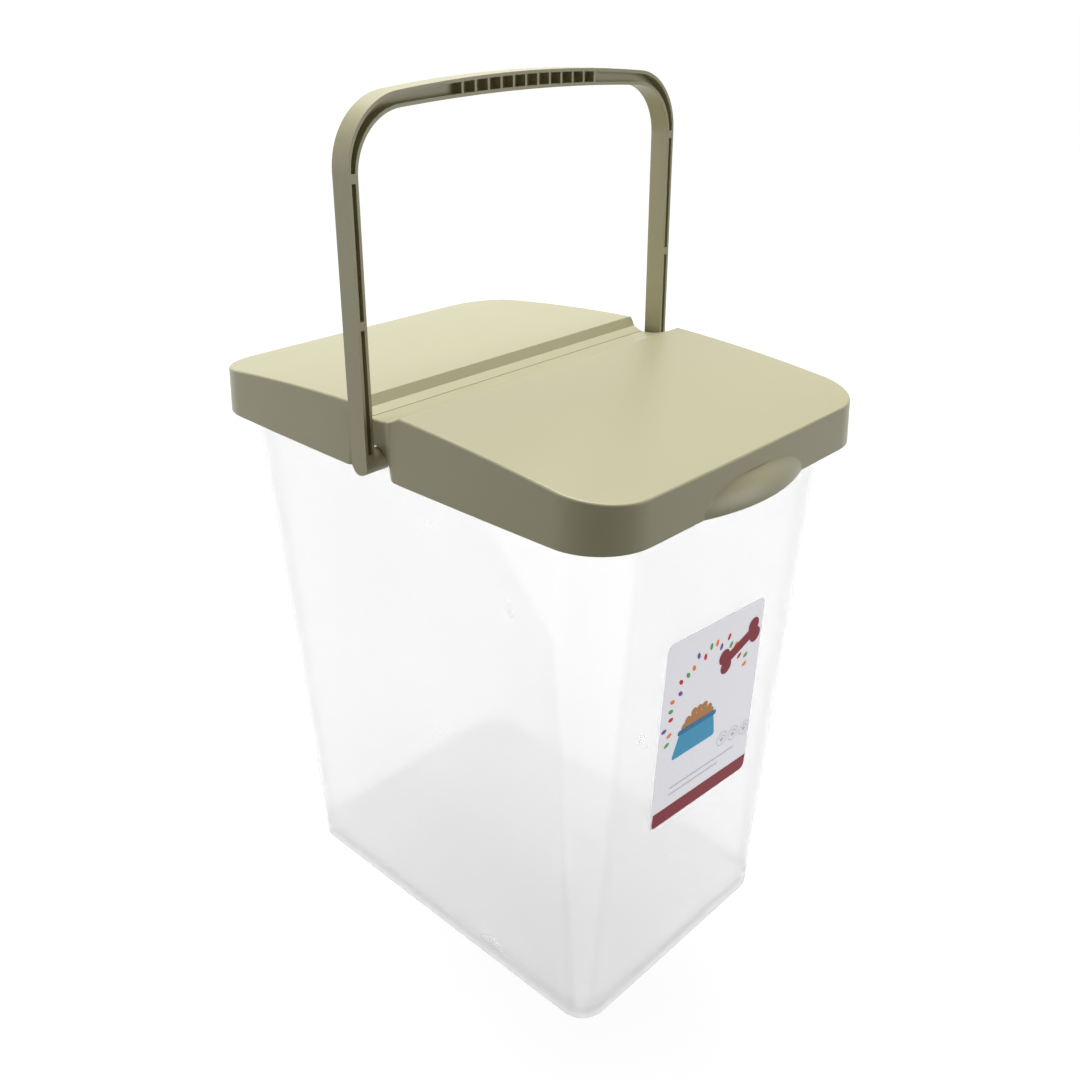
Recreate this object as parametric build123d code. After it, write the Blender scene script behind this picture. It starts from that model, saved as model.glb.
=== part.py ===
from build123d import *
import math
import os

# Food storage bin with a hinged lid and a carrying handle, in millimetres.
# The origin is the centre of the bin's base. +Z is up, -Y is the front, and X runs across.

# Bin
bin_base_width = 162.7
bin_base_depth = 238.4
bin_base_corner = 15.5
bin_height = 317.0
wall_draft = 2.8
bin_wall = 2.0
bin_floor = 2.4
base_edge_radius = 2.0
floor_pad_width = 54.0
floor_pad_depth = 84.0
floor_pad_corner = 8.0
floor_pad_rise = 1.6
rim_reach = 4.0
rim_thickness = 2.2

# Lid shell
lid_wall = 2.0
lid_corner = 30.0
lid_side_bow = 2.2
lid_end_bow = 0.9
skirt_drop = 17.0
skirt_draft = 3.0
skirt_gap_side = 0.6
skirt_gap_end = 2.4
lid_edge_rise = 4.3
lid_crest_rise = 15.6
lid_camber = 1.9
lid_edge_radius = 1.2

# Channel across the lid, with the fold line of the flap at its bottom
fold_y = 5.6
fold_rise = 9.5
channel_front_y = -19.0
channel_ledge_y = 12.6
channel_ledge_rise = 1.6
channel_rear_y = 16.2
channel_slope_rise = 1.2
cut_overrun = 5.0
flap_gap = 0.4
fold_web = 0.6
fold_web_width = 3.0

# Ribs under the lid
rib_wall = 1.6
locating_rib_gap = 2.4
locating_rib_drop = 6.0
seat_gap = 0.3
lift_clearance = 1.0

# Finger lip on the front of the flap
lip_half_width = 39.0
lip_reach = 7.0
lip_rise = 13.0

# Handle
pivot_drop = 10.7
pivot_y = 2.1
arm_depth = 11.2
arm_thickness = 5.1
arm_gap = 1.2
arm_lean = 0.68
handle_rise = 167.4
handle_corner = 32.0
grip_thickness = 8.2
grip_arch_outer = 7.2
grip_arch_inner = 4.7
flange_thickness = 1.5
web_thickness = 2.0
grip_rib_count = 12
grip_rib_pitch = 8.1
grip_rib_thickness = 1.3
arm_block_height = 4.0
arm_block_rises = (67.0, 130.0)

# Pivot
trunnion_radius = 3.5
trunnion_run_clearance = 0.06
trunnion_end_gap = 0.6
trunnion_reach = 7.6
pad_radius = 8.0
pad_thickness = 1.0
hub_end_gap = 0.5
arch_clearance = 1.3
scoop_depth = 4.3
scoop_half_length = 17.0

# Label
label_thickness = 0.25
label_corner = 4.0
label_left = -40.0
label_right = 42.3
label_top = 230.0
label_bottom = 114.8
label_fall = 6.0
label_flare = 4.0

# Sizes that follow from the ones above
draft_slope = math.tan(math.radians(wall_draft))
skirt_slope = math.tan(math.radians(skirt_draft))
bin_top_width = bin_base_width + 2 * bin_height * draft_slope
bin_top_depth = bin_base_depth + 2 * bin_height * draft_slope
bin_top_corner = bin_base_corner + bin_height * draft_slope
skirt_bottom = bin_height - skirt_drop
skirt_growth = skirt_drop * skirt_slope
lid_width = bin_top_width + 2 * (rim_reach + skirt_gap_side + lid_side_bow + lid_wall + skirt_growth)
lid_depth = bin_top_depth + 2 * (rim_reach + skirt_gap_end + lid_end_bow + lid_wall + skirt_growth)
fold_z = bin_height + fold_rise
crest_z = bin_height + lid_crest_rise
edge_z = bin_height + lid_edge_rise
ledge_z = fold_z + channel_ledge_rise
pivot_z = bin_height - pivot_drop
grip_top_z = pivot_z + handle_rise
hub_radius = arm_depth / 2
arch_radius = pivot_z + hub_radius + arch_clearance - skirt_bottom


def half_width_of_bin(z):
    """Outer half width of the bin's side wall at height z."""
    return bin_base_width / 2 + z * draft_slope


def half_width_of_lid(z):
    """Outer half width of the lid's skirt at its widest, at height z."""
    return lid_width / 2 - (z - skirt_bottom) * skirt_slope


def bin_block(inset, bottom, top):
    """Tapered block with the bin's outer shape, drawn in by inset."""
    growth = bottom * draft_slope - inset
    section = RectangleRounded(
        bin_base_width + 2 * growth, bin_base_depth + 2 * growth, bin_base_corner + growth
    )
    return extrude(Pos(0, 0, bottom) * section, top - bottom, taper=-wall_draft)


def bowed_outline(inset):
    """Lid outline at the skirt's lower edge: four bowed sides and round corners."""
    x = lid_width / 2 - inset
    y = lid_depth / 2 - inset
    corners = [
        (x - lid_side_bow, y - lid_end_bow),
        (lid_side_bow - x, y - lid_end_bow),
        (lid_side_bow - x, lid_end_bow - y),
        (x - lid_side_bow, lid_end_bow - y),
    ]
    middles = [(0, y), (-x, 0), (0, -y), (x, 0)]
    sides = []
    for index in range(4):
        following = corners[(index + 1) % 4]
        sides.append(ThreePointArc(corners[index], middles[index], following))
    face = make_face(sides)
    return fillet(face.vertices(), lid_corner - inset)


def lid_block(inset):
    """Drafted block of the lid's outline, taller than the lid."""
    height = crest_z - skirt_bottom + 2 * lid_wall
    return extrude(Pos(0, 0, skirt_bottom) * bowed_outline(inset), height, taper=skirt_draft)


def side_profile(drop):
    """Side view of the lid: cambered tops with the channel between them, drop below the surface."""
    reach = lid_depth / 2 + cut_overrun
    slope = (crest_z - edge_z) / (lid_depth / 2 - channel_rear_y)
    far_z = edge_z - cut_overrun * slope - drop
    middle_y = (channel_rear_y + reach) / 2
    middle_z = (crest_z - drop + far_z) / 2 + lid_camber
    front_middle_y = (channel_front_y - reach) / 2
    slope_y = (fold_y + channel_front_y) / 2
    slope_z = fold_z + channel_slope_rise - drop
    base_z = skirt_bottom - cut_overrun
    lines = [
        Line((reach, base_z), (reach, far_z)),
        ThreePointArc((reach, far_z), (middle_y, middle_z), (channel_rear_y + drop, crest_z - drop)),
        Line((channel_rear_y + drop, crest_z - drop), (channel_ledge_y + drop / 2, ledge_z - drop)),
        Line((channel_ledge_y + drop / 2, ledge_z - drop), (fold_y, fold_z - drop)),
        ThreePointArc((fold_y, fold_z - drop), (slope_y, slope_z), (channel_front_y, crest_z - drop)),
        ThreePointArc((channel_front_y, crest_z - drop), (front_middle_y, middle_z), (-reach, far_z)),
        Line((-reach, far_z), (-reach, base_z)),
        Line((-reach, base_z), (reach, base_z)),
    ]
    face = Plane.YZ * make_face(lines)
    return extrude(face, lid_width, both=True)


def scoops(inset):
    """Upright round cutters that draw the skirt in beside the handle's arms."""
    radius = (scoop_half_length ** 2 + scoop_depth ** 2) / (2 * scoop_depth)
    centre = lid_width / 2 + radius - scoop_depth
    height = crest_z - skirt_bottom + 4 * cut_overrun
    cutter = Pos(centre, pivot_y, skirt_bottom - cut_overrun) * Cylinder(
        radius + inset, height, align=(Align.CENTER, Align.CENTER, Align.MIN)
    )
    return [cutter, mirror(cutter, Plane.YZ)]


def make_bin():
    """Tapered tub with a raised pad in its floor, a turned-out rim and two trunnions."""
    tub = bin_block(0, 0, bin_height)
    lowest = tub.edges().filter_by(lambda edge: edge.center().Z < 0.01)
    tub = fillet(lowest, base_edge_radius)
    rim_bottom = bin_height - rim_thickness
    rim = extrude(
        Pos(0, 0, rim_bottom) * RectangleRounded(
            bin_top_width + 2 * rim_reach, bin_top_depth + 2 * rim_reach, bin_top_corner + rim_reach
        ),
        rim_thickness,
    )
    notch_length = 2 * (scoop_half_length + lift_clearance)
    notch_inner = half_width_of_lid(bin_height) - scoop_depth - lid_wall - lift_clearance
    notch = Pos(notch_inner, pivot_y, bin_height) * Box(
        rim_reach * 3, notch_length, rim_thickness * 3, align=(Align.MIN, Align.CENTER, Align.CENTER)
    )
    rim = rim - notch - mirror(notch, Plane.YZ)
    pivot_wall = half_width_of_bin(pivot_z)
    pad = Pos(pivot_wall - bin_wall / 2, pivot_y, pivot_z) * Rot(0, 90, 0) * Cylinder(
        pad_radius, bin_wall / 2 + pad_thickness, align=(Align.CENTER, Align.CENTER, Align.MIN)
    )
    trunnion = Pos(pivot_wall - bin_wall / 2, pivot_y, pivot_z) * Rot(0, 90, 0) * Cylinder(
        trunnion_radius,
        bin_wall / 2 + pad_thickness + trunnion_reach,
        align=(Align.CENTER, Align.CENTER, Align.MIN),
    )
    tip = trunnion.edges().sort_by(Axis.X)[-1]
    trunnion = chamfer(tip, 0.8)
    ears = pad + trunnion
    body = tub + rim + ears + mirror(ears, Plane.YZ)
    body = body - bin_block(bin_wall, bin_floor, bin_height + 1)
    pad_face = RectangleRounded(floor_pad_width, floor_pad_depth, floor_pad_corner)
    return body + extrude(Pos(0, 0, bin_floor / 2) * pad_face, bin_floor / 2 + floor_pad_rise, taper=10)


def rib_ring(outer_inset, bottom):
    """Upright rib that follows the bin's mouth, from a given height up into the lid's top."""
    width = bin_top_width - 2 * outer_inset
    depth = bin_top_depth - 2 * outer_inset
    corner = bin_top_corner - outer_inset
    face = RectangleRounded(width, depth, corner)
    face = face - RectangleRounded(width - 2 * rib_wall, depth - 2 * rib_wall, corner - rib_wall)
    return extrude(Pos(0, 0, bottom) * face, crest_z - bottom + 1)


def is_top_edge(edge):
    """True for the edges where the lid's top meets its skirt."""
    centre = edge.center()
    outlying = abs(centre.X) > lid_width / 2 - 14 or abs(centre.Y) > lid_depth / 2 - 14
    return outlying and centre.Z > edge_z - 3 and edge.bounding_box().min.Z > bin_height


def make_lid():
    """Lid shell with its ribs, before the flap is parted from the rear panel."""
    block = lid_block(0) & side_profile(0)
    for cutter in scoops(0):
        block = block - cutter
    block = fillet(block.edges().filter_by(is_top_edge), lid_edge_radius)
    hollow = lid_block(lid_wall) & side_profile(lid_wall)
    for cutter in scoops(lid_wall):
        hollow = hollow - cutter
    seat_inset = -(rim_reach + rib_wall) / 2
    ribs = rib_ring(seat_inset, bin_height + seat_gap)
    ribs = ribs + rib_ring(bin_wall + locating_rib_gap, bin_height - locating_rib_drop)
    arch = Pos(0, pivot_y, skirt_bottom) * Rot(0, 90, 0) * Cylinder(arch_radius, lid_width + 2 * cut_overrun)
    groove = Pos(0, fold_y, fold_z - fold_web) * Box(
        lid_width, fold_web_width, lid_wall * 2, align=(Align.CENTER, Align.CENTER, Align.MAX)
    )
    return (block - hollow) + (ribs & block) - arch - groove


def finger_lip(lid):
    """Bulge the front skirt out into a scalloped lip that is open underneath."""
    front = -lid_depth / 2
    section_radius = (lip_rise ** 2 + lip_reach ** 2) / (2 * lip_reach)
    sweep_radius = (lip_half_width ** 2 + lip_reach ** 2) / (2 * lip_reach) - section_radius
    ring_centre = Pos(0, front + sweep_radius + section_radius - lip_reach, skirt_bottom)
    room_width = 2 * (lip_half_width + lid_wall)
    room_depth = 2 * (lip_reach + lid_wall)
    ahead = Pos(0, front + lid_wall / 2, skirt_bottom) * Box(
        room_width, room_depth, lip_rise, align=(Align.CENTER, Align.MAX, Align.MIN)
    )
    hollow = Pos(0, front + 2 * lid_wall, skirt_bottom - lip_rise) * Box(
        room_width, room_depth, 2 * lip_rise, align=(Align.CENTER, Align.MAX, Align.MIN)
    )
    bulge = ring_centre * Torus(sweep_radius, section_radius) & ahead
    cavity = ring_centre * Torus(sweep_radius, section_radius - lid_wall) & hollow
    return lid + bulge - cavity


def make_flap(lid):
    """Front flap: everything ahead of the fold line, with the finger lip."""
    ahead = Pos(0, fold_y - flap_gap / 2, bin_height) * Box(
        2 * lid_width, 2 * lid_depth, lid_depth, align=(Align.CENTER, Align.MAX, Align.CENTER)
    )
    return finger_lip(lid & ahead)


def make_rear_panel(lid):
    """Rear panel: everything behind the fold line."""
    behind = Pos(0, fold_y + flap_gap / 2, bin_height) * Box(
        2 * lid_width, 2 * lid_depth, lid_depth, align=(Align.CENTER, Align.MIN, Align.CENTER)
    )
    return lid & behind


def bail_outline(half_width, shoulder_z, crown_z, corner):
    """Front view of a bail: two leaning arms and an arched crown, open at no side."""
    lean = math.tan(math.radians(arm_lean))
    low_z = pivot_z - arm_depth
    low_x = half_width + arm_depth * lean
    shoulder_x = half_width - (shoulder_z - pivot_z) * lean
    lines = [
        Line((-low_x, low_z), (-shoulder_x, shoulder_z)),
        ThreePointArc((-shoulder_x, shoulder_z), (0, crown_z), (shoulder_x, shoulder_z)),
        Line((shoulder_x, shoulder_z), (low_x, low_z)),
        Line((low_x, low_z), (-low_x, low_z)),
    ]
    face = make_face(lines)
    return fillet(face.vertices().sort_by(Axis.Y)[-2:], corner)


def make_handle():
    """One-piece bail of I section, with ribs across the grip and a bored hub at each end."""
    inner_x = half_width_of_lid(pivot_z) + arm_gap
    outer_x = inner_x + arm_thickness
    outer_shoulder = grip_top_z - grip_arch_outer
    inner_crown = grip_top_z - grip_thickness
    inner_shoulder = inner_crown - grip_arch_inner
    inner_corner = handle_corner - arm_thickness
    bail = bail_outline(outer_x, outer_shoulder, grip_top_z, handle_corner)
    bail = bail - bail_outline(inner_x, inner_shoulder, inner_crown, inner_corner)

    flange = flange_thickness
    pocket = bail_outline(outer_x - flange, outer_shoulder - flange, grip_top_z - flange, handle_corner - flange)
    pocket = pocket - bail_outline(
        inner_x + flange, inner_shoulder + flange, inner_crown + flange, inner_corner + flange
    )
    pocket = pocket & Pos(0, pivot_z + hub_radius) * Rectangle(
        4 * outer_x, 2 * handle_rise, align=(Align.CENTER, Align.MIN)
    )
    for index in range(grip_rib_count):
        x = (index - (grip_rib_count - 1) / 2) * grip_rib_pitch
        pocket = pocket - Pos(x, grip_top_z) * Rectangle(grip_rib_thickness, 4 * grip_thickness)
    for rise in arm_block_rises:
        pocket = pocket - Pos(0, pivot_z + rise) * Rectangle(4 * outer_x, arm_block_height)

    pocket_depth = (arm_depth - web_thickness) / 2
    span = 2 * (outer_x + cut_overrun)
    handle = extrude(Plane.XZ * bail, arm_depth / 2, both=True)
    front_pocket = extrude(Plane.XZ * pocket, pocket_depth)
    handle = handle - Pos(0, -web_thickness / 2, 0) * front_pocket
    handle = handle - Pos(0, web_thickness / 2 + pocket_depth, 0) * front_pocket
    rounding = Pos(0, 0, pivot_z) * Rot(0, 90, 0) * Cylinder(hub_radius, span)
    rounding = rounding + Pos(0, 0, pivot_z) * Box(
        span, arm_depth, 2 * handle_rise, align=(Align.CENTER, Align.CENTER, Align.MIN)
    )
    handle = handle & rounding

    pad_face_x = half_width_of_bin(pivot_z) + pad_thickness
    hub_start = pad_face_x + hub_end_gap
    hub = Pos(hub_start, 0, pivot_z) * Rot(0, 90, 0) * Cylinder(
        hub_radius, inner_x + 1 - hub_start, align=(Align.CENTER, Align.CENTER, Align.MIN)
    )
    bore = Pos(pad_face_x, 0, pivot_z) * Rot(0, 90, 0) * Cylinder(
        trunnion_radius + trunnion_run_clearance,
        trunnion_reach + trunnion_end_gap,
        align=(Align.CENTER, Align.CENTER, Align.MIN),
    )
    handle = handle + hub + mirror(hub, Plane.YZ) - bore - mirror(bore, Plane.YZ)
    return Pos(0, pivot_y, 0) * handle


def make_label():
    """Thin sticker on the bin's sloping front wall, a little out of square."""
    wall = Plane(
        origin=(0, -bin_base_depth / 2, 0), x_dir=(1, 0, 0), z_dir=(0, -1, -draft_slope)
    )
    corners = [
        (label_left, label_top),
        (label_right, label_top - label_fall),
        (label_right + label_flare, label_bottom - label_fall),
        (label_left, label_bottom),
    ]
    face = make_face(Polyline(*corners, close=True))
    face = fillet(face.vertices(), label_corner)
    return extrude(wall * face, label_thickness)


os.makedirs("parts", exist_ok=True)
lid = make_lid()
pieces = {
    "bin_body": make_bin(),
    "lid_rear_panel": make_rear_panel(lid),
    "lid_front_flap": make_flap(lid),
    "carry_handle": make_handle(),
    "front_label": make_label(),
}
for name, piece in pieces.items():
    piece.label = name
    export_step(piece, f"parts/{name}.step")
    box = piece.bounding_box()
    print(name, len(piece.solids()), "solid", round(piece.volume), "mm3", box.min, box.max)
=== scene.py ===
import math

import bmesh
import bpy
from mathutils import Matrix, Vector


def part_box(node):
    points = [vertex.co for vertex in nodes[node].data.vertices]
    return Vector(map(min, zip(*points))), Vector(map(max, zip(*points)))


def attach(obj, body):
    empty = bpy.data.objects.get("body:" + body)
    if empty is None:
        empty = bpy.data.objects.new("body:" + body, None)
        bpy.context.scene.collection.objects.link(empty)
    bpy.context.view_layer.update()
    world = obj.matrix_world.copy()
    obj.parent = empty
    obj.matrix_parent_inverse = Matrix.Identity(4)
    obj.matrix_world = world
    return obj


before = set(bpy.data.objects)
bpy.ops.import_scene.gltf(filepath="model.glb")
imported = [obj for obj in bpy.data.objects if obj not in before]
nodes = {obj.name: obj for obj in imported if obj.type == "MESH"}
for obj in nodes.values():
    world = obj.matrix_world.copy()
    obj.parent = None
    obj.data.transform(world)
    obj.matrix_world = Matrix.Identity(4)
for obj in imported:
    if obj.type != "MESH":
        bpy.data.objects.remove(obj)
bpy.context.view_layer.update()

MM = 0.001

# Camera, solved from the photograph's straight edges
CAMERA_PLACE = (-0.41068, -0.39936, 0.51027)
CAMERA_DOWN = 26.30
CAMERA_YAW = 46.42
CAMERA_LENS = 37.58
CAMERA_SENSOR = 36.0
CAMERA_REACH = (0.01, 200.0)

# Light, in watts and metres
KEY_PLACE = (0.25, 0.36, 1.75)
KEY_AIM = (0.0, 0.0, 0.3)
KEY_SIZE = 1.2
KEY_POWER = 35.0
SIDE_LIGHT_PLACES = ((-1.6, 0.9, 0.6), (0.9, -1.6, 0.5))
SIDE_LIGHT_AIM = (0.0, 0.0, 0.2)
SIDE_LIGHT_SIZE = 1.0
SIDE_LIGHT_POWER = 8.5
SKY_LEVEL = 0.08
FLOOR_SIZE = 60.0
FLOOR_TONE = 0.20
FLOOR_ROUGHNESS = 0.9
FLOOR_GLOW_NEAR = 0.91
FLOOR_GLOW_FADE = (0.35, 1.3)

# Colours, as they look on the screen
LID_KHAKI = (176, 171, 136)
BIN_MILK = (253, 253, 253)
FILM_WHITE = (244, 244, 250)
DARK_RED = (128, 20, 38)
BRIGHT_RED = (196, 38, 44)
BOWL_BLUE = (58, 150, 190)
BOWL_DEEP = (36, 112, 156)
ORANGE = (232, 128, 48)
LEAF_GREEN = (88, 158, 84)
PLUM = (112, 78, 158)
BISCUIT = (176, 122, 70)
LINE_GREY = (184, 186, 194)

# Surface patterns that every skin shares, per metre, with the grain's depth in metres
CLOUD_PATTERN = {"Scale": 11.0, "Detail": 3.0, "Roughness": 0.5}
HAZE_PATTERN = {"Scale": 34.0, "Detail": 2.0, "Roughness": 0.6}
GRAIN_PATTERN = {"Detail": 2.0, "Roughness": 0.6}
GRAIN_SIZE = 1400.0
GRAIN_DEPTH = 0.00006
PATTERN_MIDDLE = 0.5

# Skins; the clear bin keeps glossy faces, so it has no grain
LID_SKIN = {"Drift": 0.05, "Roughness": 0.30, "Gloss_drift": 0.10, "Grain": 0.22}
BIN_SKIN = {"Drift": 0.03, "Roughness": 0.24, "Gloss_drift": 0.12, "Grain": 0.0}
PRINT_SKIN = {"Drift": 0.06, "Roughness": 0.28, "Gloss_drift": 0.06, "Grain": 0.08}
LID_IOR = 1.49
# Painted glow of the sticker film and its inks, standing in for light that comes through the milky
# bin
PAINTED_PRINT_GLOW = 0.38
PRINT_SPECULAR = 0.12

# Clear bin: milkiness of the wall and of its thick floor and rim, with their heights in metres, and
# painted shade that darkens its colour at the floor
BIN_IOR = 1.25
BIN_CLEARNESS = 0.86
BIN_FLOOR_BAND = {"Low": -0.001, "High": 0.0035, "Fade": 0.010}
BIN_RIM_BAND = {"Low": 0.312, "High": 0.320, "Fade": 0.012}
BIN_FLOOR_PAINTED_SHADE = 0.86
BIN_WALL_DENSITY = 0.26
BIN_THICK_DENSITY = 0.62
BIN_SHADOW_SHARE = 0.16

# Even shading of the moulded pieces
JOIN_DISTANCE = 0.000002
CRISP_EDGE = math.radians(28)
SHADING_WEIGHT = 80

# Sticker, in millimetres on the bin's sloping front wall
WALL_DRAFT = math.radians(2.8)
STICKER_WIDTH = 82.3
STICKER_HEIGHT = 115.2
STICKER_FALL = 6.0
STICKER_FLARE = 4.0
PRINT_LIFT = 0.03
PRINT_DEPTH = 0.05
PRINT_STEP = 0.005
PRINT_ABOVE = 0.15
CORNER_SEGMENTS = 6

# Printed motifs, in millimetres from the sticker's lower left corner
BAND_MARGIN = 0.8
BAND_TOP = 10.5
BAND_CORNER = 3.4

BONE_CENTRE = (57.0, 92.0)
BONE_TILT = math.radians(24)
BONE_HALF_LENGTH = 13.0
BONE_HALF_WIDTH = 3.3
BONE_KNOB = 4.6
BONE_KNOB_OFFSET = 3.6

BOWL_CENTRE = (28.0, 50.0)
BOWL_HALF_WIDTH = 19.0
BOWL_BELOW = 9.0
BOWL_ABOVE = 6.0
BOWL_TAPER = 0.78
BOWL_CORNER = 2.4
BOWL_RIM_HALF_WIDTH = 16.6
BOWL_RIM_BAND = (5.0, 8.2)
BOWL_RIM_CORNER = 1.4

HEAP_ROWS = (6, 5, 3)
HEAP_FOOT = 9.0
HEAP_ROW_RISE = 3.2
HEAP_PITCH = 4.6
HEAP_KIBBLE = 2.5
HEAP_KIBBLE_SIDES = 12

CONFETTI_CENTRE = (34.0, 66.0)
CONFETTI_COUNT = 22
CONFETTI_START = 20.0
CONFETTI_PITCH = 8.6
CONFETTI_REACH = 33.0
CONFETTI_TALL = 1.05
CONFETTI_SWAY = 2.6
CONFETTI_SWAY_STEP = 2.4
CONFETTI_SIZE = 2.1
CONFETTI_SLIM = 0.62
CONFETTI_SIDES = 10

PAW_MARK_COUNT = 3
PAW_MARK_FIRST = (56.0, 34.0)
PAW_MARK_PITCH = (11.0, -1.2)
PAW_RING = 4.6
PAW_RING_WIDTH = 0.5
PAW_PAD = 1.5
PAW_PAD_DROP = 0.8
PAW_PAD_FLAT = 0.8
PAW_PAD_SIDES = 14
PAW_TOE_COUNT = 4
PAW_TOE = 0.62
PAW_TOE_SIDES = 8
PAW_TOE_REACH = 2.5
PAW_TOE_DROP = 0.4
PAW_TOE_START = 30
PAW_TOE_PITCH = 40

RULE_LENGTHS = (58.0, 44.0)
RULE_START = (12.0, 22.0)
RULE_PITCH = 4.2
RULE_WIDTH = 0.9

scene = bpy.context.scene


# Colour and node helpers


def linear(colour, alpha=1.0):
    """Screen colour of 0 to 255 as the linear colour that a shader takes."""
    channels = [value / 255 for value in colour]
    channels = [c / 12.92 if c <= 0.04045 else ((c + 0.055) / 1.055) ** 2.4 for c in channels]
    return (*channels, alpha)


def add_node(tree, kind, **settings):
    """New node in a tree with its properties set."""
    node = tree.nodes.new(kind)
    for name, value in settings.items():
        setattr(node, name, value)
    return node


def set_inputs(node, **values):
    """Sets a node's sockets by name, with underscores for spaces."""
    for name, value in values.items():
        node.inputs[name.replace("_", " ")].default_value = value
    return node


def calculate(tree, operation, *values, use_clamp=False):
    """Math node on sockets and plain numbers, in order; gives its result."""
    node = add_node(tree, "ShaderNodeMath", operation=operation, use_clamp=use_clamp)
    for socket, value in zip(node.inputs, values):
        if isinstance(value, float):
            socket.default_value = value
        else:
            tree.links.new(value, socket)
    return node.outputs["Value"]


def spread(tree, mask, at_none, at_full):
    """Turns a mask of 0 to 1 into a value between two levels."""
    level = add_node(tree, "ShaderNodeMapRange")
    set_inputs(level, To_Min=at_none, To_Max=at_full)
    tree.links.new(mask, level.inputs["Value"])
    return level.outputs["Result"]


def add_noise(tree, place, pattern):
    """Noise over the piece's own coordinates."""
    noise = set_inputs(add_node(tree, "ShaderNodeTexNoise"), **pattern)
    tree.links.new(place.outputs["Object"], noise.inputs["Vector"])
    return noise


def new_group(name, inputs, outputs):
    """Empty shader node group with named sockets."""
    tree = bpy.data.node_groups.new(name, "ShaderNodeTree")
    for socket, (kind, value) in inputs.items():
        made = tree.interface.new_socket(socket, in_out="INPUT", socket_type=kind)
        made.default_value = value
    for socket, kind in outputs.items():
        tree.interface.new_socket(socket, in_out="OUTPUT", socket_type=kind)
    return tree, add_node(tree, "NodeGroupInput"), add_node(tree, "NodeGroupOutput")


def use_group(tree, group, **values):
    """Places a node group in a material with its own values."""
    node = add_node(tree, "ShaderNodeGroup", node_tree=group)
    return set_inputs(node, **values)


# Shared surface effects


def make_moulded_skin():
    """Moulded plastic: slow colour drift, uneven gloss and a fine satin grain."""
    inputs = {
        "Colour": ("NodeSocketColor", (0.8, 0.8, 0.8, 1.0)),
        "Drift": ("NodeSocketFloat", 0.05),
        "Roughness": ("NodeSocketFloat", 0.35),
        "Gloss drift": ("NodeSocketFloat", 0.08),
        "Grain": ("NodeSocketFloat", 0.1),
        "Grain size": ("NodeSocketFloat", GRAIN_SIZE),
    }
    outputs = {
        "Colour": "NodeSocketColor",
        "Roughness": "NodeSocketFloat",
        "Normal": "NodeSocketVector",
    }
    tree, given, result = new_group("moulded skin", inputs, outputs)
    link = tree.links.new
    place = add_node(tree, "ShaderNodeTexCoord")

    cloud = add_noise(tree, place, CLOUD_PATTERN)
    swing = calculate(tree, "SUBTRACT", cloud.outputs["Fac"], PATTERN_MIDDLE)
    shade = calculate(tree, "MULTIPLY_ADD", swing, given.outputs["Drift"], 1.0)
    tint = add_node(tree, "ShaderNodeHueSaturation")
    link(given.outputs["Colour"], tint.inputs["Color"])
    link(shade, tint.inputs["Value"])
    link(tint.outputs["Color"], result.inputs["Colour"])

    haze = add_noise(tree, place, HAZE_PATTERN)
    uneven = calculate(
        tree,
        "MULTIPLY_ADD",
        haze.outputs["Fac"],
        given.outputs["Gloss drift"],
        given.outputs["Roughness"],
    )
    link(uneven, result.inputs["Roughness"])

    grain = add_noise(tree, place, GRAIN_PATTERN)
    link(given.outputs["Grain size"], grain.inputs["Scale"])
    bump = set_inputs(add_node(tree, "ShaderNodeBump"), Distance=GRAIN_DEPTH)
    link(grain.outputs["Fac"], bump.inputs["Height"])
    link(given.outputs["Grain"], bump.inputs["Strength"])
    link(bump.outputs["Normal"], result.inputs["Normal"])
    return tree


def make_height_band():
    """Mask that is 1 between two heights of the piece and fades out softly on either side."""
    inputs = {
        "Low": ("NodeSocketFloat", 0.0),
        "High": ("NodeSocketFloat", 0.01),
        "Fade": ("NodeSocketFloat", 0.01),
    }
    tree, given, result = new_group("height band", inputs, {"Mask": "NodeSocketFloat"})
    place = add_node(tree, "ShaderNodeTexCoord")
    split = add_node(tree, "ShaderNodeSeparateXYZ")
    tree.links.new(place.outputs["Object"], split.inputs["Vector"])
    sides = []
    for edge, slope in (("Low", 1.0), ("High", -1.0)):
        past = calculate(tree, "SUBTRACT", split.outputs["Z"], given.outputs[edge])
        share = calculate(tree, "DIVIDE", past, given.outputs["Fade"])
        sides.append(calculate(tree, "MULTIPLY_ADD", share, slope, 1.0, use_clamp=True))
    tree.links.new(calculate(tree, "MULTIPLY", *sides), result.inputs["Mask"])
    return tree


# Materials


def new_material(name):
    """Empty material with a Principled shader, its tree and that shader."""
    material = bpy.data.materials.new(name)
    material.use_nodes = True
    tree = material.node_tree
    return material, tree, tree.nodes["Principled BSDF"]


def dress(tree, shader, skin):
    """Joins a moulded skin to a Principled shader."""
    tree.links.new(skin.outputs["Colour"], shader.inputs["Base Color"])
    tree.links.new(skin.outputs["Roughness"], shader.inputs["Roughness"])
    tree.links.new(skin.outputs["Normal"], shader.inputs["Normal"])


def make_lid_plastic(skin_group):
    """Khaki satin polypropylene of the lid and the handle."""
    material, tree, shader = new_material("khaki satin polypropylene")
    skin = use_group(tree, skin_group, Colour=linear(LID_KHAKI), **LID_SKIN)
    dress(tree, shader, skin)
    set_inputs(shader, IOR=LID_IOR)
    return material


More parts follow.
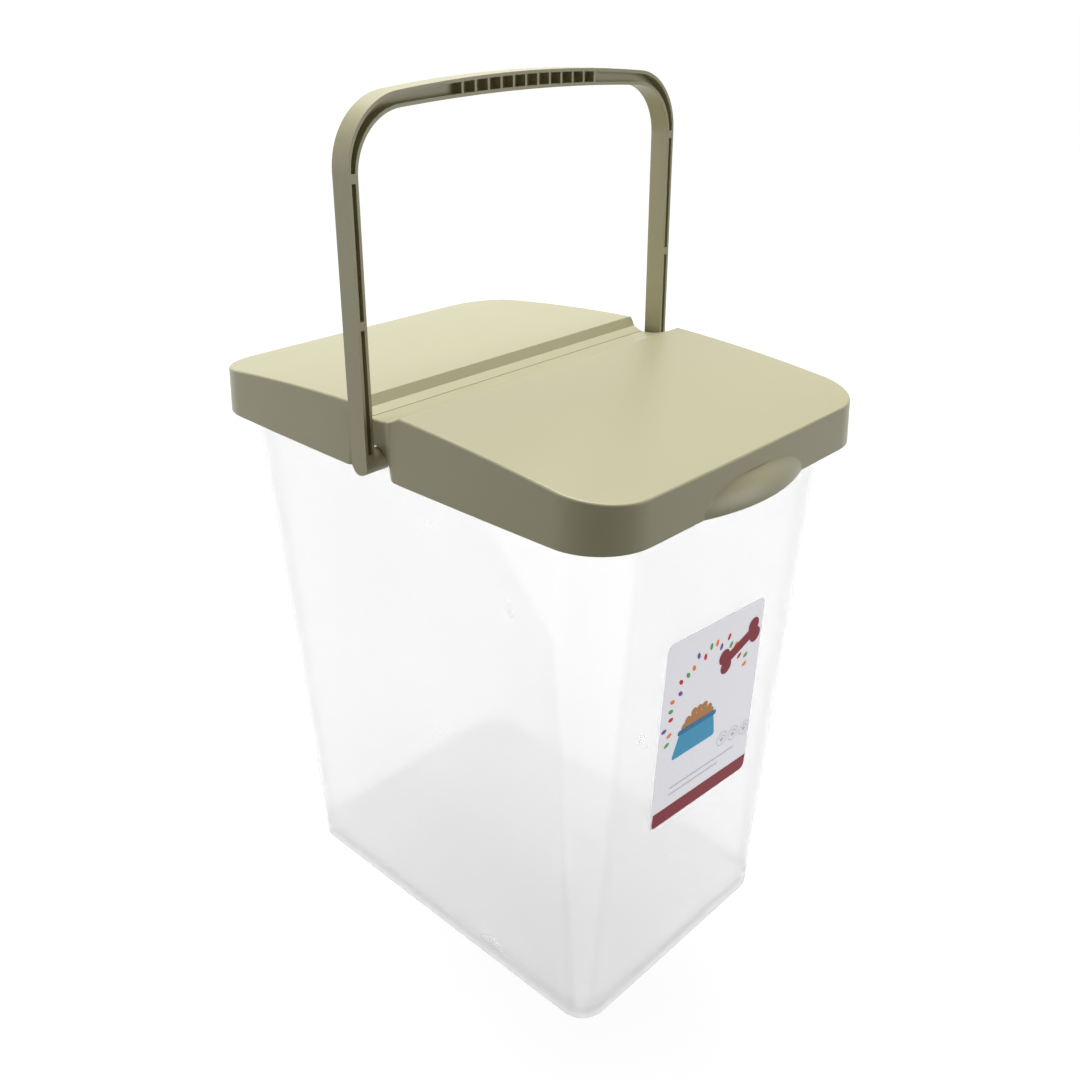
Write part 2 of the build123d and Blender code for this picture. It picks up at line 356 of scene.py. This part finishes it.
def make_bin_plastic(skin_group, band_group):
    """Milky see-through polypropylene, denser at the floor and at the rim, with painted shade
    darkening its colour at the floor.
    """
    material, tree, shader = new_material("milky clear polypropylene")
    skin = use_group(tree, skin_group, **BIN_SKIN)
    dress(tree, shader, skin)
    set_inputs(shader, IOR=BIN_IOR, Transmission_Weight=BIN_CLEARNESS)

    bottom = use_group(tree, band_group, **BIN_FLOOR_BAND).outputs["Mask"]
    rim = use_group(tree, band_group, **BIN_RIM_BAND).outputs["Mask"]
    # Milky colour with painted shade that darkens it towards the floor
    milk_with_painted_shade = set_inputs(add_node(tree, "ShaderNodeHueSaturation"), Color=linear(BIN_MILK))
    tree.links.new(spread(tree, bottom, 1.0, BIN_FLOOR_PAINTED_SHADE), milk_with_painted_shade.inputs["Value"])
    tree.links.new(milk_with_painted_shade.outputs["Color"], skin.inputs["Colour"])

    thick = calculate(tree, "ADD", bottom, rim, use_clamp=True)
    density = spread(tree, thick, BIN_WALL_DENSITY, BIN_THICK_DENSITY)
    path = add_node(tree, "ShaderNodeLightPath")
    light_rays = calculate(
        tree, "MAXIMUM", path.outputs["Is Shadow Ray"], path.outputs["Is Diffuse Ray"]
    )
    light_share = spread(tree, light_rays, 1.0, BIN_SHADOW_SHARE)
    tree.links.new(calculate(tree, "MULTIPLY", density, light_share), shader.inputs["Alpha"])
    return material


def make_print(name, skin_group, colour):
    """Printed film in one colour, with drifting ink and a painted glow that stands in for light
    through the clear bin.
    """
    material, tree, shader = new_material(name)
    skin = use_group(tree, skin_group, Colour=linear(colour), **PRINT_SKIN)
    dress(tree, shader, skin)
    # Painted glow: the ink colour also feeds the emission, so the print shines a little on its own
    tree.links.new(skin.outputs["Colour"], shader.inputs["Emission Color"])
    set_inputs(shader, Specular_IOR_Level=PRINT_SPECULAR, Emission_Strength=PAINTED_PRINT_GLOW)
    return material


def see_white(tree):
    """1 for what the camera, gloss and clear plastic see, and 0 for light on the object."""
    path = add_node(tree, "ShaderNodeLightPath")
    direct = calculate(
        tree, "MAXIMUM", path.outputs["Is Camera Ray"], path.outputs["Is Glossy Ray"]
    )
    return calculate(tree, "MAXIMUM", direct, path.outputs["Is Transmission Ray"])


def make_floor_material():
    """Pale floor that shows white away from the object and keeps the object's shadow."""
    material, tree, shader = new_material("white studio floor")
    link = tree.links.new
    place = add_node(tree, "ShaderNodeTexCoord")
    reach = add_node(tree, "ShaderNodeVectorMath", operation="LENGTH")
    link(place.outputs["Object"], reach.inputs[0])
    fade = add_node(tree, "ShaderNodeMapRange", interpolation_type="SMOOTHSTEP")
    link(reach.outputs["Value"], fade.inputs["Value"])
    near, far = FLOOR_GLOW_FADE
    set_inputs(fade, From_Min=near, From_Max=far, To_Min=FLOOR_GLOW_NEAR, To_Max=1.0)
    glow = calculate(tree, "MULTIPLY", fade.outputs["Result"], see_white(tree))
    link(glow, shader.inputs["Emission Strength"])
    set_inputs(
        shader,
        Base_Color=(FLOOR_TONE, FLOOR_TONE, FLOOR_TONE, 1.0),
        Roughness=FLOOR_ROUGHNESS,
        Specular_IOR_Level=0.0,
        Emission_Color=(1.0, 1.0, 1.0, 1.0),
    )
    return material


# Studio


def make_sky():
    """World that looks white and lights the object softly."""
    world = bpy.data.worlds.new("white studio")
    world.use_nodes = True
    scene.world = world
    tree = world.node_tree
    background = set_inputs(tree.nodes["Background"], Color=(1.0, 1.0, 1.0, 1.0))
    level = spread(tree, see_white(tree), SKY_LEVEL, 1.0)
    tree.links.new(level, background.inputs["Strength"])


def make_floor():
    """Wide plain floor under the object."""
    mesh = bpy.data.meshes.new("studio_floor")
    form = bmesh.new()
    bmesh.ops.create_grid(form, x_segments=1, y_segments=1, size=FLOOR_SIZE / 2)
    form.to_mesh(mesh)
    form.free()
    mesh.materials.append(make_floor_material())
    floor = bpy.data.objects.new("studio_floor", mesh)
    scene.collection.objects.link(floor)


def add_soft_light(name, place, size, power, target):
    """Square soft lamp aimed at a point."""
    lamp = bpy.data.lights.new(name, "AREA")
    lamp.shape = "SQUARE"
    lamp.size = size
    lamp.energy = power
    holder = bpy.data.objects.new(name, lamp)
    holder.location = place
    aim = Vector(target) - Vector(place)
    holder.rotation_euler = aim.to_track_quat("-Z", "Y").to_euler()
    scene.collection.objects.link(holder)


def make_camera():
    """Camera at the photograph's place and angle."""
    lens = bpy.data.cameras.new("photo_camera")
    lens.sensor_width = CAMERA_SENSOR
    lens.lens = CAMERA_LENS
    lens.clip_start, lens.clip_end = CAMERA_REACH
    camera = bpy.data.objects.new("photo_camera", lens)
    camera.location = CAMERA_PLACE
    camera.rotation_euler = (math.radians(90 - CAMERA_DOWN), 0.0, math.radians(-CAMERA_YAW))
    scene.collection.objects.link(camera)
    scene.camera = camera


# Moulded pieces carried over from the solids


def smooth_moulding(piece, material):
    """Gives a moulded piece its material and even shading, with its crisp edges kept."""
    piece.data.materials.clear()
    piece.data.materials.append(material)
    for polygon in piece.data.polygons:
        polygon.use_smooth = True
    weld = piece.modifiers.new("join faces", "WELD")
    weld.merge_threshold = JOIN_DISTANCE
    split = piece.modifiers.new("keep edges", "EDGE_SPLIT")
    split.split_angle = CRISP_EDGE
    even = piece.modifiers.new("even shading", "WEIGHTED_NORMAL")
    even.weight = SHADING_WEIGHT
    even.keep_sharp = True


# Flat drawing


def add_disc(form, x, y, radius, sides=24, stretch=1.0, turn=0.0, lift=0.0):
    """Flat round or oval patch."""
    place = Matrix.Translation((x, y, lift)) @ Matrix.Rotation(turn, 4, "Z")
    place = place @ Matrix.Diagonal((1.0, stretch, 1.0, 1.0))
    bmesh.ops.create_circle(form, cap_ends=True, radius=radius, segments=sides, matrix=place)


def add_ring(form, x, y, radius, width, sides=40):
    """Flat ring."""
    place = Matrix.Translation((x, y, 0.0))
    for reach in (radius - width, radius):
        bmesh.ops.create_circle(form, radius=reach, segments=sides, matrix=place)
    bmesh.ops.bridge_loops(form, edges=[edge for edge in form.edges if edge.is_wire])


def add_slab(form, left, bottom, right, top):
    """Flat rectangle; returns its corner points."""
    place = Matrix.Translation(((left + right) / 2, (bottom + top) / 2, 0.0))
    place = place @ Matrix.Diagonal((right - left, top - bottom, 1.0, 1.0))
    slab = bmesh.ops.create_grid(form, x_segments=1, y_segments=1, size=0.5, matrix=place)
    return slab["verts"]


def round_corners(form, corners, radius):
    """Rounds corners of a flat patch."""
    bmesh.ops.bevel(
        form,
        geom=corners,
        offset=radius,
        segments=CORNER_SEGMENTS,
        profile=0.5,
        affect="VERTICES",
        material=-1,
    )


def raise_drawing(form):
    """Lifts a whole drawing over the prints that it crosses."""
    bmesh.ops.translate(form, verts=form.verts, vec=(0.0, 0.0, PRINT_ABOVE))


# Sticker print


class Sticker:
    """Flat drawing board in millimetres, from the sticker's lower left corner, laid on the wall."""

    def __init__(self):
        low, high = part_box("front_label")
        level = Vector((1.0, 0.0, 0.0))
        slope = Vector((0.0, -math.sin(WALL_DRAFT), math.cos(WALL_DRAFT)))
        outward = Vector((0.0, -math.cos(WALL_DRAFT), -math.sin(WALL_DRAFT)))
        fall = math.atan2(STICKER_FALL, STICKER_WIDTH)
        across = level * math.cos(fall) - slope * math.sin(fall)
        upright = slope * math.cos(fall) + level * math.sin(fall)
        foot = Vector((low.x, low.y, high.z)) - slope * (STICKER_HEIGHT * MM)
        turn = Matrix((across, upright, outward)).transposed().to_4x4()
        self.board = Matrix.Translation(foot) @ turn @ Matrix.Scale(MM, 4)

    def lay(self, name, form, material):
        """Turns a flat drawing into a thin printed layer on the sticker."""
        raised = bmesh.ops.extrude_face_region(form, geom=list(form.faces))
        tops = [item for item in raised["geom"] if isinstance(item, bmesh.types.BMVert)]
        bmesh.ops.translate(form, verts=tops, vec=(0.0, 0.0, PRINT_DEPTH))
        bmesh.ops.translate(form, verts=form.verts, vec=(0.0, 0.0, PRINT_LIFT))
        bmesh.ops.recalc_face_normals(form, faces=form.faces)
        bmesh.ops.transform(form, matrix=self.board, verts=form.verts)
        mesh = bpy.data.meshes.new(name)
        form.to_mesh(mesh)
        form.free()
        mesh.materials.append(material)
        piece = bpy.data.objects.new(name, mesh)
        scene.collection.objects.link(piece)
        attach(piece, "bin")


def print_band(sticker, material):
    """Dark band along the sticker's foot."""
    form = bmesh.new()
    right = STICKER_WIDTH + STICKER_FLARE - BAND_MARGIN
    corners = add_slab(form, BAND_MARGIN, BAND_MARGIN, right, BAND_TOP)
    foot = [vert for vert in corners if vert.co.y < BAND_TOP / 2]
    right_top = max(corners, key=lambda vert: vert.co.x + vert.co.y)
    right_top.co.x -= STICKER_FLARE * BAND_TOP / STICKER_HEIGHT
    round_corners(form, foot, BAND_CORNER)
    sticker.lay("sticker_band", form, material)


def print_bone(sticker, material):
    """Plain biscuit bone."""
    form = bmesh.new()
    x, y = BONE_CENTRE
    add_slab(
        form,
        x - BONE_HALF_LENGTH,
        y - BONE_HALF_WIDTH,
        x + BONE_HALF_LENGTH,
        y + BONE_HALF_WIDTH,
    )
    for side in (-1, 1):
        for up in (-1, 1):
            knob_x = x + side * BONE_HALF_LENGTH
            knob_y = y + up * BONE_KNOB_OFFSET
            add_disc(form, knob_x, knob_y, BONE_KNOB, lift=PRINT_STEP * (2 + up))
    tilt = Matrix.Rotation(BONE_TILT, 3, "Z")
    bmesh.ops.rotate(form, cent=(x, y, 0.0), matrix=tilt, verts=form.verts)
    raise_drawing(form)
    sticker.lay("sticker_bone", form, material)


def print_bowl(sticker, body_material, rim_material, kibble_material):
    """Feeding bowl with a heap of food."""
    x, y = BOWL_CENTRE
    heap = bmesh.new()
    for row, count in enumerate(HEAP_ROWS):
        for index in range(count):
            kibble_x = x + (index - (count - 1) / 2) * HEAP_PITCH
            kibble_y = y + HEAP_FOOT + row * HEAP_ROW_RISE
            lift = PRINT_STEP * (row * HEAP_ROWS[0] + index)
            add_disc(heap, kibble_x, kibble_y, HEAP_KIBBLE, sides=HEAP_KIBBLE_SIDES, lift=lift)
    sticker.lay("sticker_kibble_heap", heap, kibble_material)

    body = bmesh.new()
    corners = add_slab(
        body, x - BOWL_HALF_WIDTH, y - BOWL_BELOW, x + BOWL_HALF_WIDTH, y + BOWL_ABOVE
    )
    for vert in corners:
        if vert.co.y > y:
            vert.co.x = x + (vert.co.x - x) * BOWL_TAPER
    round_corners(body, list(body.verts), BOWL_CORNER)
    sticker.lay("sticker_bowl", body, body_material)

    rim = bmesh.new()
    rim_bottom, rim_top = BOWL_RIM_BAND
    add_slab(
        rim, x - BOWL_RIM_HALF_WIDTH, y + rim_bottom, x + BOWL_RIM_HALF_WIDTH, y + rim_top
    )
    round_corners(rim, list(rim.verts), BOWL_RIM_CORNER)
    raise_drawing(rim)
    sticker.lay("sticker_bowl_rim", rim, rim_material)


def print_confetti(sticker, materials):
    """Arc of small coloured kibble shapes over the bowl."""
    x, y = CONFETTI_CENTRE
    for number, material in enumerate(materials):
        form = bmesh.new()
        for step in range(number, CONFETTI_COUNT, len(materials)):
            turn = math.radians(CONFETTI_START + step * CONFETTI_PITCH)
            away = CONFETTI_REACH + CONFETTI_SWAY * math.sin(step * CONFETTI_SWAY_STEP)
            add_disc(
                form,
                x + away * math.cos(turn),
                y + away * math.sin(turn) * CONFETTI_TALL,
                CONFETTI_SIZE,
                sides=CONFETTI_SIDES,
                stretch=CONFETTI_SLIM,
                turn=turn,
            )
        sticker.lay(f"sticker_confetti_{number + 1}", form, material)


def add_paw_mark(form, x, y):
    """Outlined ring with a paw print in it."""
    add_ring(form, x, y, PAW_RING, PAW_RING_WIDTH)
    add_disc(form, x, y - PAW_PAD_DROP, PAW_PAD, sides=PAW_PAD_SIDES, stretch=PAW_PAD_FLAT)
    for toe in range(PAW_TOE_COUNT):
        turn = math.radians(PAW_TOE_START + toe * PAW_TOE_PITCH)
        toe_x = x + PAW_TOE_REACH * math.cos(turn)
        toe_y = y - PAW_TOE_DROP + PAW_TOE_REACH * math.sin(turn)
        add_disc(form, toe_x, toe_y, PAW_TOE, sides=PAW_TOE_SIDES)


def print_small_marks(sticker, material):
    """Row of paw marks over two plain rules."""
    form = bmesh.new()
    x, y = PAW_MARK_FIRST
    pitch_x, pitch_y = PAW_MARK_PITCH
    for index in range(PAW_MARK_COUNT):
        add_paw_mark(form, x + index * pitch_x, y + index * pitch_y)
    left, bottom = RULE_START
    for line, length in enumerate(RULE_LENGTHS):
        height = bottom - line * RULE_PITCH
        add_slab(form, left, height, left + length, height + RULE_WIDTH)
    sticker.lay("sticker_small_marks", form, material)


def dress_sticker(skin_group):
    """All the printed motifs."""
    sticker = Sticker()
    inks = {
        name: make_print(f"{name} ink", skin_group, colour)
        for name, colour in (
            ("dark red", DARK_RED),
            ("bright red", BRIGHT_RED),
            ("bowl blue", BOWL_BLUE),
            ("deep blue", BOWL_DEEP),
            ("orange", ORANGE),
            ("leaf green", LEAF_GREEN),
            ("plum", PLUM),
            ("biscuit", BISCUIT),
            ("line grey", LINE_GREY),
        )
    }
    print_band(sticker, inks["dark red"])
    print_bone(sticker, inks["dark red"])
    print_bowl(sticker, inks["bowl blue"], inks["deep blue"], inks["biscuit"])
    confetti_inks = [inks[name] for name in ("orange", "leaf green", "bright red", "plum")]
    print_confetti(sticker, confetti_inks)
    print_small_marks(sticker, inks["line grey"])


# The object

moulded_skin = make_moulded_skin()
height_band = make_height_band()
lid_plastic = make_lid_plastic(moulded_skin)
for name in ("lid_rear_panel", "lid_front_flap", "carry_handle"):
    smooth_moulding(nodes[name], lid_plastic)
smooth_moulding(nodes["bin_body"], make_bin_plastic(moulded_skin, height_band))
smooth_moulding(nodes["front_label"], make_print("sticker film", moulded_skin, FILM_WHITE))
dress_sticker(moulded_skin)

# The studio

make_sky()
make_floor()
add_soft_light("key_light", KEY_PLACE, KEY_SIZE, KEY_POWER, KEY_AIM)
for number, place in enumerate(SIDE_LIGHT_PLACES):
    name = f"side_light_{number + 1}"
    add_soft_light(name, place, SIDE_LIGHT_SIZE, SIDE_LIGHT_POWER, SIDE_LIGHT_AIM)
make_camera()
scene.view_settings.view_transform = "Standard"
